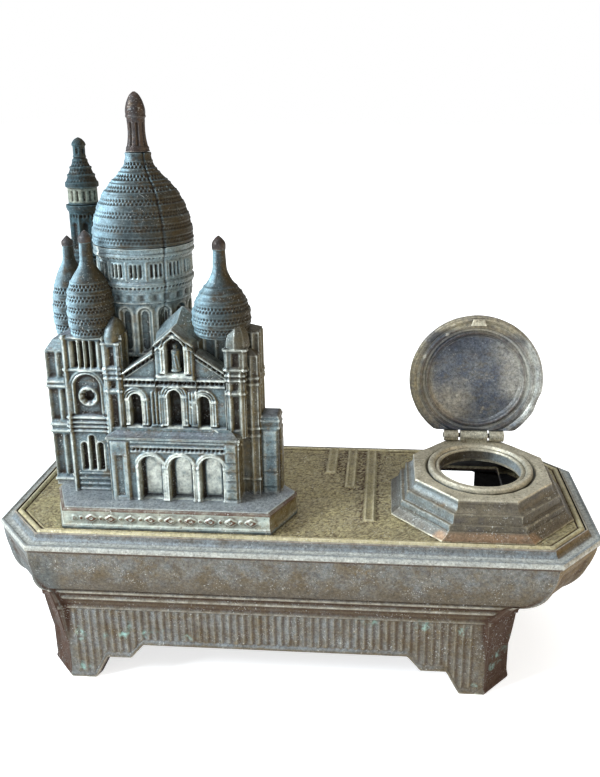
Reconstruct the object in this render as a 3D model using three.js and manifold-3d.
// Desk inkwell: a footed, hollow metal base with a domed basilica at the left, pen rests in the middle
// and a hinged, lidded ink well at the right. Millimetres, +Z up, +X to the right, the front faces -Y.
// The origin is on the desk, under the middle of the rim.
import * as THREE from "three";
import { mergeVertices } from "three/addons/utils/BufferGeometryUtils.js";
import Module from "manifold-3d";

const wasm = await Module();
wasm.setup();

// ---- driving dimensions ----
const GAP = 0.3; // clearance between neighbouring pieces
const RIM = { half: 95, depth: 37, chamfer: 14.8, z: 50 };
const FOOT = { left: -80.5, right: 68.5, depth: 31.5, chamfer: 8.4 };
const APRON_TOP = 27;
const OVOLO_FOOT = 34;
const WALL = 3;
const BEAD = { inset: 4.7, width: 1.7, z: 53.3 };
const DECK = { z: 52.6, thickness: 2 };
const DECK_UNDERSIDE = DECK.z - DECK.thickness;
const SKIRT_TOP = 53;
const FOOT_ARCH = { foot: 7.8, slant: 4.2, step: 8, stepZ: 8, crownZ: 13 };
const BACK_OPENING = { from: 26, top: 47.5 };
const WELL = { x: 59, y: -4.3, plate: 42.4, top: 64.8, bore: 13.9, ceiling: 60.4 };
const COLLAR = { outer: 16.9, bore: 13.1, top: 65.9, seat: 63.6, depth: 4.4 };
const LID = { radius: 22.9, flat: 18.1, height: 6.4, recess: 3, lean: 2 };
const HINGE = {
  y: 16.1, z: 66.9, notch: 62.4, radius: 2, pin: 0.8, hole: 0.95, half: 10.4, middle: 4.7, slack: 0.7,
};
const PEN_RESTS = { half: 1.7, height: 0.7, bars: [[9, 12, 31], [16.2, 2, 30.6], [23.3, -19.5, 30.3]] };
const SCREW = { head: 3, shank: 1.5, hole: 1.8, top: 57, places: [-60, -18] };
const PLINTH = {
  left: -77.2, right: -0.2, front: -29, back: 16, side: 6.4, shoulder: -16, waist: 12, top: 59.6,
};
const FLOOR = PLINTH.top + GAP; // the level that the building stands on
const NAVE = { left: -67, right: -24, front: -7, back: 14, top: 104 };
const FACADE = { left: -51.6, right: -20.6, front: -20, back: -15.3, top: 101, apex: 116.5, axis: -34.8 };
const PORTICO = { left: -56.5, right: -16.6, front: -24, top: 80.5 };
const DOME = { x: -48.7, y: -1, drum: 13.5, belt: 14.8, spring: 138, top: 165.3, tip: 183.1 };
const COLOURS = { steel: 0x6e7478, bronze: 0x6f6350, stone: 0x5f6f74, brass: 0xb59f80, iron: 0x55524d };

// ---- solids ----
function solid(geometry) {
  const g = (geometry.index ? geometry.toNonIndexed() : geometry.clone()).deleteAttribute("normal");
  g.deleteAttribute("uv");
  const merged = mergeVertices(g, 1e-4);
  const vertProperties = merged.getAttribute("position").array;
  return new wasm.Manifold(
    new wasm.Mesh({ numProp: 3, vertProperties, triVerts: new Uint32Array(merged.index.array) }),
  );
}

function geometryOf(manifold) {
  const mesh = manifold.getMesh();
  const g = new THREE.BufferGeometry();
  g.setAttribute("position", new THREE.BufferAttribute(new Float32Array(mesh.vertProperties), 3));
  g.setIndex(new THREE.BufferAttribute(new Uint32Array(mesh.triVerts), 1));
  g.computeVertexNormals();
  return g;
}

const join = (...parts) => geometryOf(parts.map(solid).reduce((a, b) => a.add(b)));
const cut = (body, ...tools) => geometryOf(tools.map(solid).reduce((a, b) => a.subtract(b), solid(body)));

function box(x0, x1, y0, y1, z0, z1) {
  const g = new THREE.BoxGeometry(x1 - x0, y1 - y0, z1 - z0);
  return g.translate((x0 + x1) / 2, (y0 + y1) / 2, (z0 + z1) / 2);
}

// A solid of revolution about a vertical axis; the outline runs from the foot of the axis to its top.
function turned(outline, x, y, segments = 24) {
  const points = outline.map(([r, z]) => new THREE.Vector2(r, z));
  return new THREE.LatheGeometry(points, segments).rotateX(Math.PI / 2).translate(x, y, 0);
}

const polygon = (points) => new THREE.Shape(points.map(([a, b]) => new THREE.Vector2(a, b)));

const rod = (r, z0, z1, x, y, segments = 32) => turned([[0, z0], [r, z0], [r, z1], [0, z1]], x, y, segments);

// An outline in X and Z, pushed through from y0 to y1.
function through(outline, y0, y1) {
  const shape = outline instanceof THREE.Shape ? outline : polygon(outline);
  const g = new THREE.ExtrudeGeometry(shape, { depth: y1 - y0, bevelEnabled: false, curveSegments: 8 });
  return g.rotateX(Math.PI / 2).translate(0, y1, 0);
}

// A round-headed opening.
function arch(x, z0, width, height, y0, y1) {
  const r = width / 2;
  const shape = new THREE.Shape();
  shape.moveTo(x - r, z0);
  shape.lineTo(x + r, z0);
  shape.lineTo(x + r, z0 + height - r);
  shape.absarc(x, z0 + height - r, r, 0, Math.PI, false);
  return through(shape, y0, y1);
}

// A rectangle with cut corners at height z, counterclockwise from above.
function octagon({ left, right, front, back, chamferX, chamferY }, z) {
  const [cx, cy] = [chamferX, chamferY];
  return [
    [left + cx, front], [right - cx, front], [right, front + cy], [right, back - cy],
    [right - cx, back], [left + cx, back], [left, back - cy], [left, front + cy],
  ].map(([x, y]) => new THREE.Vector3(x, y, z));
}

// Skin over a stack of sections that have the same number of points, closed at both ends.
function loft(rings) {
  const n = rings[0].length;
  const last = (rings.length - 1) * n;
  const index = [];
  for (let ring = 0; ring < rings.length - 1; ring++)
    for (let j = 0; j < n; j++) {
      const [a, b] = [ring * n + j, ring * n + ((j + 1) % n)];
      index.push(a, b, b + n, a, b + n, a + n);
    }
  for (let j = 1; j < n - 1; j++) index.push(0, j + 1, j, last, last + j, last + j + 1);
  const g = new THREE.BufferGeometry().setFromPoints(rings.flat());
  g.setIndex(index);
  g.computeVertexNormals();
  return g;
}

// ---- base ----
const mix = (a, b, t) => a + (b - a) * t;

// The section of the base: t = 0 at the rim and 1 at the feet. The front and back draw in at their own rate.
function baseSection(t, depthInset, z) {
  const chamfer = mix(RIM.chamfer, FOOT.chamfer, t);
  return octagon({
    left: mix(-RIM.half, FOOT.left, t),
    right: mix(RIM.half, FOOT.right, t),
    front: -RIM.depth + depthInset,
    back: RIM.depth - depthInset,
    chamferX: chamfer,
    chamferY: chamfer,
  }, z);
}

// The rim's outline drawn in evenly all round.
function rimSection(inset, z) {
  const chamfer = RIM.chamfer - inset * (2 - Math.SQRT2);
  return octagon({
    left: -RIM.half + inset,
    right: RIM.half - inset,
    front: -RIM.depth + inset,
    back: RIM.depth - inset,
    chamferX: chamfer,
    chamferY: chamfer,
  }, z);
}

// Feet at the corners, a step beside each, and a long raised edge between.
function footArch(from, to) {
  const { foot, slant, step, stepZ, crownZ } = FOOT_ARCH;
  const landing = foot + slant + step;
  const side = [[foot, -1], [foot + slant, stepZ], [landing, stepZ], [landing + slant, crownZ]];
  return [
    ...side.map(([u, z]) => [from + u, z]),
    ...side.reverse().map(([u, z]) => [to - u, z]),
  ];
}

function baseSkirt() {
  const footInset = RIM.depth - FOOT.depth;
  const ovolo = [0, 1, 2, 3, 4].map((i) => (i * Math.PI) / 8).map((angle) => {
    const inward = 1 - Math.cos(angle);
    const z = mix(RIM.z - 1.2, OVOLO_FOOT, Math.sin(angle));
    return baseSection(0.05 + 0.6 * inward, 0.5 + 3 * inward, z);
  });
  const outside = loft([
    baseSection(1, footInset, 0),
    baseSection(1, footInset - 0.6, APRON_TOP),
    baseSection(0.93, footInset - 1.2, APRON_TOP + 1),
    baseSection(0.75, footInset - 1.8, OVOLO_FOOT - 1.5),
    ...ovolo.reverse(),
    rimSection(0, RIM.z - 0.6),
    rimSection(0, RIM.z + 0.6),
    rimSection(1.6, RIM.z + 0.9),
    rimSection(3.2, RIM.z + 1.6),
    rimSection(BEAD.inset - GAP, SKIRT_TOP),
  ]);
  const innerCorner = FOOT.chamfer - WALL * (2 - Math.SQRT2);
  const inner = {
    left: FOOT.left + WALL, right: FOOT.right - WALL, front: -FOOT.depth + WALL, back: FOOT.depth - WALL,
    chamferX: innerCorner, chamferY: innerCorner,
  };
  const hollow = [-1, OVOLO_FOOT + 4].map((z) => octagon(inner, z));
  const upper = [OVOLO_FOOT + 3, RIM.z + 5].map((z) => rimSection(RIM.depth - FOOT.depth + WALL, z));
  const seat = [DECK_UNDERSIDE - GAP, RIM.z + 5].map((z) => rimSection(BEAD.inset, z));
  const corner = FOOT.chamfer;
  const frontArch = through(footArch(FOOT.left + corner, FOOT.right - corner), -60, 60);
  const { foot, slant, stepZ } = FOOT_ARCH;
  const half = FOOT.depth - corner - foot;
  const endOutline = [[-half, -1], [half, -1], [half - slant, stepZ], [slant - half, stepZ]];
  const endArch = through(endOutline, -120, 120).rotateZ(Math.PI / 2);
  const openBack = box(-120, 120, BACK_OPENING.from, 60, -1, BACK_OPENING.top);
  return cut(outside, loft(hollow), loft(upper), loft(seat), frontArch, endArch, openBack);
}

function deckPlate() {
  const { z } = DECK;
  const edge = BEAD.inset + GAP;
  const plate = loft([rimSection(edge, DECK_UNDERSIDE), rimSection(edge, z)]);
  const crest = rimSection(edge + 0.5, BEAD.z);
  const bead = loft([rimSection(edge, z - 1), rimSection(edge, BEAD.z - 0.4), crest]);
  const field = loft([rimSection(edge + BEAD.width, z), rimSection(edge + BEAD.width - 0.5, BEAD.z + 1)]);
  const { half, height, bars } = PEN_RESTS;
  const rests = bars.map(([x, y0, y1]) => box(x - half, x + half, y0, y1, z - 0.5, z + height));
  const wellHole = box(WELL.x - 19, WELL.x + 9.5, WELL.y - 17.7, WELL.y + 24.8, 0, 90);
  return cut(join(cut(join(plate, bead), field), ...rests), wellHole, ...screwHoles());
}

// ---- ink well ----
function wellSection(halfX, halfFront, halfBack, z) {
  const corner = (2 - Math.SQRT2) * Math.min(halfX, halfFront);
  return octagon({
    left: WELL.x - halfX, right: WELL.x + halfX, front: WELL.y - halfFront, back: WELL.y + halfBack,
    chamferX: corner, chamferY: corner,
  }, z);
}

function wellPedestal() {
  const half = WELL.plate / 2;
  const foot = DECK.z + GAP;
  const body = loft([
    wellSection(half + 7.6, half + 4.4, half + 6, foot),
    wellSection(half + 5, half + 3.4, half + 4.4, foot + 2.6),
    wellSection(half + 4.6, half + 3.2, half + 4, foot + 4.4),
    wellSection(half + 3, half + 2.4, half + 2.6, foot + 5),
    wellSection(half + 2.6, half + 2.2, half + 2.2, foot + 8),
    wellSection(half + 0.2, half + 0.2, half + 0.2, foot + 9.4),
    wellSection(half, half, half, WELL.top - 0.5),
    wellSection(half - 0.5, half - 0.5, half - 0.5, WELL.top),
  ]);
  const bore = rod(WELL.bore, WELL.ceiling - 1, 90, WELL.x, WELL.y);
  const hollow = loft([
    wellSection(half + 5.2, half + 2.2, half + 4, foot - 1),
    wellSection(half - 2.4, half - 2.4, half - 2.4, WELL.ceiling),
  ]);
  const seat = rod(COLLAR.outer + GAP, COLLAR.seat, 90, WELL.x, WELL.y);
  const room = HINGE.half + 1.2;
  const hingeRoom = box(WELL.x - room, WELL.x + room, HINGE.y - 2.6, 60, HINGE.notch, 90);
  return cut(body, bore, hollow, seat, hingeRoom);
}

function wellCollar() {
  const { outer, bore, top, depth } = COLLAR;
  const sleeve = WELL.bore - GAP;
  const base = COLLAR.seat + GAP;
  return turned([
    [bore, top - depth], [sleeve, top - depth], [sleeve, base], [outer, base], [outer, top - 0.5],
    [outer - 0.6, top], [bore + 0.7, top], [bore, top - 0.7], [bore, top - depth],
  ], WELL.x, WELL.y, 40);
}

// ---- hinge and lid, drawn shut; the lid group turns them up ----
function alongX(radius, x0, x1) {
  const g = new THREE.CylinderGeometry(radius, radius, x1 - x0, 20).rotateZ(Math.PI / 2);
  return g.translate((x0 + x1) / 2, 0, 0);
}

function hingeBlock() {
  const { middle, radius, hole, notch, y, z } = HINGE;
  const barrel = alongX(radius, -middle, middle).translate(WELL.x, y, z);
  const foot = box(WELL.x - middle, WELL.x + middle, y - 1.6, y + 1.2, notch + GAP, z);
  const bore = alongX(hole, -middle - 1, middle + 1).translate(WELL.x, y, z);
  return cut(join(barrel, foot), bore);
}

function hingePin() {
  const { half, pin, y, z } = HINGE;
  return alongX(pin, -half - 0.3, half + 0.3).translate(WELL.x, y, z);
}

const LID_CENTRE = WELL.y - HINGE.y; // from the hinge line to the middle of the shut lid
const LID_FACE = COLLAR.top - HINGE.z; // the shut lid's rim, from the hinge line

function lidShell() {
  const { radius, height, recess, flat } = LID;
  const mouth = COLLAR.outer + 0.9;
  const dome = turned([
    [0, recess], [mouth - 2.2, recess], [mouth - 1.6, recess - 0.8], [mouth, recess - 1.2], [mouth, 0.7],
    [mouth + 1.2, 0.3], [radius - 1.4, 0], [radius, 0.7], [radius, 2.2], [radius - 2.4, 3.1],
    [radius * 0.66, 4.9], [radius * 0.3, 6], [0, height],
  ], 0, LID_CENTRE, 48).translate(0, 0, LID_FACE);
  const behind = LID_CENTRE + flat;
  return cut(dome, box(-radius, radius, behind, behind + radius, -20, 20));
}

// One of the lid's two knuckles: side is -1 for the left and 1 for the right.
function lidKnuckle(side) {
  const { half, middle, radius, hole, slack } = HINGE;
  const behind = LID_CENTRE + LID.flat + GAP;
  const [x0, x1] = side < 0 ? [-half, -middle - slack] : [middle + slack, half];
  const knuckle = join(alongX(radius, x0, x1), box(x0, x1, behind, 0, -0.4, radius));
  return cut(knuckle, alongX(hole, -half - 1, half + 1));
}

function lidCatch() {
  const rim = LID_CENTRE - LID.radius;
  const outline = [[-2.7, rim + 3.2], [2.7, rim + 3.2], [1.9, rim + 0.9], [-1.9, rim + 0.9]];
  const thickness = 0.5;
  const tab = new THREE.ExtrudeGeometry(polygon(outline), { depth: thickness, bevelEnabled: false });
  return tab.translate(0, 0, LID_FACE - GAP - thickness);
}

// ---- building ----
// The building's footprint: cut corners at the front, and a slanted shoulder on the right towards the back.
function footprint(grow, z) {
  const { left, right, front, back, side, shoulder, waist } = PLINTH;
  const turn = shoulder + 1.5;
  return [
    [left + side - grow, front - grow], [right - side + grow, front - grow],
    [right + grow, shoulder], [right + grow, turn],
    [right - waist + grow, turn + waist], [right - waist + grow, back + grow],
    [left - grow, back + grow], [left - grow, shoulder],
  ].map(([x, y]) => new THREE.Vector3(x, y, z));
}

function plinth() {
  const foot = DECK.z + GAP;
  const skin = [[0.5, foot], [0.5, foot + 0.8], [0, foot + 1], [0, PLINTH.top]];
  return cut(loft(skin.map(([grow, z]) => footprint(grow, z))), ...screwHoles());
}

// The round room that the drum takes up, from the nave's roof upwards.
function drumRoom() {
  const lower = DOME.drum + GAP;
  const upper = DOME.belt + 1;
  const foot = NAVE.top - 3;
  const outline = [[0, foot], [lower, foot], [lower, 121], [upper, 122], [upper, 150], [0, 150]];
  return turned(outline, DOME.x, DOME.y, 36);
}

function nave() {
  const { left, right, front, back, top } = NAVE;
  const walls = box(left, right, front, back, FLOOR, top - 2);
  const cornice = box(left - 0.8, right + 0.8, front, back + 0.8, top - 2, top);
  const crossing = box(FACADE.left, FACADE.right - 11.9, FACADE.back + GAP, front + 1, FLOOR, top);
  const seat = rod(DOME.drum - 2, top - 3, top + 9, DOME.x, DOME.y, 24);
  return cut(join(walls, cornice, crossing), seat);
}

function facade() {
  const { left, right, front, back, top, apex, axis } = FACADE;
  const outline = [[left, FLOOR], [right, FLOOR], [right, top], [axis, apex], [left, top]];
  const niche = arch(axis - 0.6, 101.5, 6.4, 10.5, front - 1, front + 2.4);
  const windows = [-14, -1.2, 8.6].map((offset) => arch(axis + offset, 84, 5.4, 12, front - 1, front + 1.6));
  return cut(through(outline, front, back), niche, ...windows, drumRoom());
}

function portico() {
  const { left, right, front, top } = PORTICO;
  const back = FACADE.front - GAP;
  const block = box(left, right, front, back, FLOOR, top - 2);
  const cornice = box(left - 0.6, right + 0.6, front - 0.7, back, top - 2, top);
  const portals = [-9.4, 0.6, 10].map((offset) =>
    arch(FACADE.axis + offset, FLOOR - 1, 7.6, 16.8, front - 1, front + 2.2),
  );
  return cut(join(block, cornice), ...portals);
}

// Cut-stone blocks, each {x0, x1, y0, y1, top}, standing on the plinth and joined into one casting.
function masonry(blocks) {
  const cap = 1.5;
  const eaves = 0.6;
  const stones = blocks.flatMap(({ x0, x1, y0, y1, top, z0 = FLOOR }) => [
    box(x0, x1, y0, y1, z0, top - cap),
    box(x0, x1, y0 - eaves, y1, top - cap, top),
  ]);
  return cut(join(...stones), drumRoom());
}

// A bulbous stone dome that narrows to a shaft with a pointed cap.
function cupola({ x, y, r, foot, crown, tip }) {
  const rise = crown - foot;
  const bulb = [
    [0.92, 0], [1, 0.16], [0.99, 0.3], [0.89, 0.49], [0.72, 0.65], [0.54, 0.77], [0.38, 0.88], [0.25, 1],
  ];
  const shaft = r * 0.25;
  const cap = mix(crown, tip, 0.55);
  const body = turned([
    [0, foot], ...bulb.map(([u, v]) => [r * u, foot + rise * v]), [shaft, cap], [shaft + 0.35, cap + 0.4],
    [shaft + 0.2, cap + 1.6], [shaft * 0.5, tip - 1], [0, tip],
  ], x, y);
  return cut(body, drumRoom());
}

function drum() {
  const { x, y, drum: r, belt, spring } = DOME;
  const foot = NAVE.top + GAP;
  return turned([
    [0, foot], [r, foot], [r, 121], [belt - 0.4, 122.4], [belt - 0.4, 126], [belt + 0.3, 127],
    [belt, 128], [belt, spring - 3.2], [belt + 0.9, spring - 1.6], [belt + 0.9, spring], [0, spring],
  ], x, y, 36);
}

function mainDome() {
  const { x, y, belt, spring, top } = DOME;
  const foot = spring + GAP;
  const rise = top - foot;
  const collar = 3.9;
  const ogee = [
    [1.07, 0], [1.04, 0.18], [0.96, 0.34], [0.84, 0.48], [0.69, 0.6], [0.5, 0.7], [0.36, 0.78], [0.27, 0.88],
    [0.26, 0.94],
  ].map(([u, v]) => [belt * u, foot + rise * v]);
  return turned([[0, foot], ...ogee, [collar, top - 0.8], [collar, top], [0, top]], x, y, 36);
}

function lantern() {
  const { x, y, top, tip } = DOME;
  return turned([
    [0, top + GAP], [3.2, top + GAP], [2.7, top + 9], [3.1, top + 9.6], [3.1, top + 11], [2.4, top + 12.4],
    [1.9, tip - 3], [1, tip - 0.6], [0, tip],
  ], x, y, 16);
}

const BELL = { x: -71.2, y: 9.3, r: 4.8, foot: NAVE.top + GAP, eaves: 148, tip: 169.2 };

function bellTower() {
  const { x, y, r, foot, eaves } = BELL;
  return turned([
    [0, foot], [r + 0.4, foot], [r, foot + 1], [r, eaves - 2], [r + 0.7, eaves - 1], [r + 0.7, eaves],
    [0, eaves],
  ], x, y, 16);
}

function bellRoof() {
  const { x, y, r, eaves, tip } = BELL;
  const foot = eaves + GAP;
  return turned([
    [0, foot], [r - 0.2, foot], [r - 0.2, foot + 5], [r + 0.3, foot + 5.5], [r + 0.3, foot + 6.2],
    [1.9, tip - 6.3], [1.9, tip - 2.8], [2.1, tip - 2.4], [1, tip - 0.6], [0, tip],
  ], x, y, 20);
}

// A robed figure with its hands before it, in the gable niche.
function statue() {
  const { axis, front } = FACADE;
  return turned([
    [0, 101.8], [1.7, 101.8], [1.7, 102.5], [1.35, 102.8], [1.15, 105.6], [1.35, 107.6], [0.75, 108.4],
    [0.85, 109.3], [0.5, 110.1], [0, 110.3],
  ], axis - 0.6, front + 0.55, 12);
}

// The holes of the two screws that hold the building, up through the deck into the plinth.
function screwHoles() {
  return SCREW.places.map((x) => rod(SCREW.hole, DECK_UNDERSIDE - 1, SCREW.top + GAP, x, 0, 12));
}

// A machine screw, head down under the deck.
function fixingScrew(x) {
  const { head, shank, top } = SCREW;
  const under = DECK_UNDERSIDE - GAP;
  const outline = [
    [0, under - 1.8], [head - 0.4, under - 1.8], [head, under - 1.3], [head, under], [shank, under],
    [shank, top - 0.6], [shank - 0.5, top], [0, top],
  ];
  return turned(outline, x, 0, 16);
}

// ---- assembly ----
const inkwell = new THREE.Group();

function add(group, name, geometry, color, roughness, metalness) {
  const material = new THREE.MeshStandardMaterial({ color, roughness, metalness });
  const mesh = new THREE.Mesh(geometry, material);
  mesh.name = name;
  group.add(mesh);
}

const metal = (group, name, geometry, color = COLOURS.stone) => add(group, name, geometry, color, 0.45, 0.8);

metal(inkwell, "base_skirt", baseSkirt(), COLOURS.steel);
metal(inkwell, "deck_plate", deckPlate(), COLOURS.bronze);
metal(inkwell, "well_pedestal", wellPedestal(), COLOURS.bronze);
metal(inkwell, "well_collar", wellCollar(), COLOURS.bronze);
metal(inkwell, "hinge_block", hingeBlock(), COLOURS.brass);
metal(inkwell, "hinge_pin", hingePin(), COLOURS.iron);

const lid = new THREE.Group();
lid.position.set(WELL.x, HINGE.y, HINGE.z);
lid.rotation.x = -THREE.MathUtils.degToRad(90 + LID.lean);
metal(lid, "lid_shell", lidShell(), COLOURS.steel);
metal(lid, "lid_knuckle_left", lidKnuckle(-1), COLOURS.brass);
metal(lid, "lid_knuckle_right", lidKnuckle(1), COLOURS.brass);
metal(lid, "lid_catch", lidCatch(), COLOURS.brass);
inkwell.add(lid);

metal(inkwell, "plinth", plinth());
metal(inkwell, "nave", nave());
metal(inkwell, "facade", facade());
metal(inkwell, "portico", portico());
metal(inkwell, "niche_statue", statue());
const BLOCKS = {
  tower_left: [{ x0: -70.6, x1: FACADE.left - GAP, y0: -19.2, y1: -9.6, top: 112.3 }],
  tower_right: [
    { x0: -31.8, x1: -10.9, y0: -14.6, y1: NAVE.front - GAP, top: 112.6 },
    { x0: FACADE.right + GAP, x1: -10.9, y0: -18.5, y1: -14, top: 108 },
  ],
  wing_left: [
    { x0: -78.2, x1: -70.9, y0: -15, y1: 3, top: 108.3 },
    { x0: -77, x1: -68.1, y0: 2, y1: 15, top: NAVE.top },
  ],
  wing_right: [{ x0: -10.6, x1: -5, y0: -17, y1: -10, top: 84.5 }],
};
for (const [name, blocks] of Object.entries(BLOCKS)) metal(inkwell, name, masonry(blocks));
metal(inkwell, "drum", drum());
metal(inkwell, "main_dome", mainDome());
metal(inkwell, "lantern", lantern());
metal(inkwell, "bell_tower", bellTower());
metal(inkwell, "bell_tower_roof", bellRoof());
const CUPOLAS = {
  cupola_front_left: { x: -61.8, y: -15.4, r: 6.7, foot: 112.6, crown: 133.5, tip: 143.6 },
  cupola_front_right: { x: -22.4, y: -12.6, r: 8.8, foot: 112.9, crown: 131, tip: 141.9 },
  cupola_back_left: { x: -72.6, y: -3, r: 6.2, foot: 108.6, crown: 131, tip: 139.8 },
};
for (const [name, size] of Object.entries(CUPOLAS)) metal(inkwell, name, cupola(size));
metal(inkwell, "screw_left", fixingScrew(-60), COLOURS.iron);
metal(inkwell, "screw_right", fixingScrew(-18), COLOURS.iron);

export default inkwell;
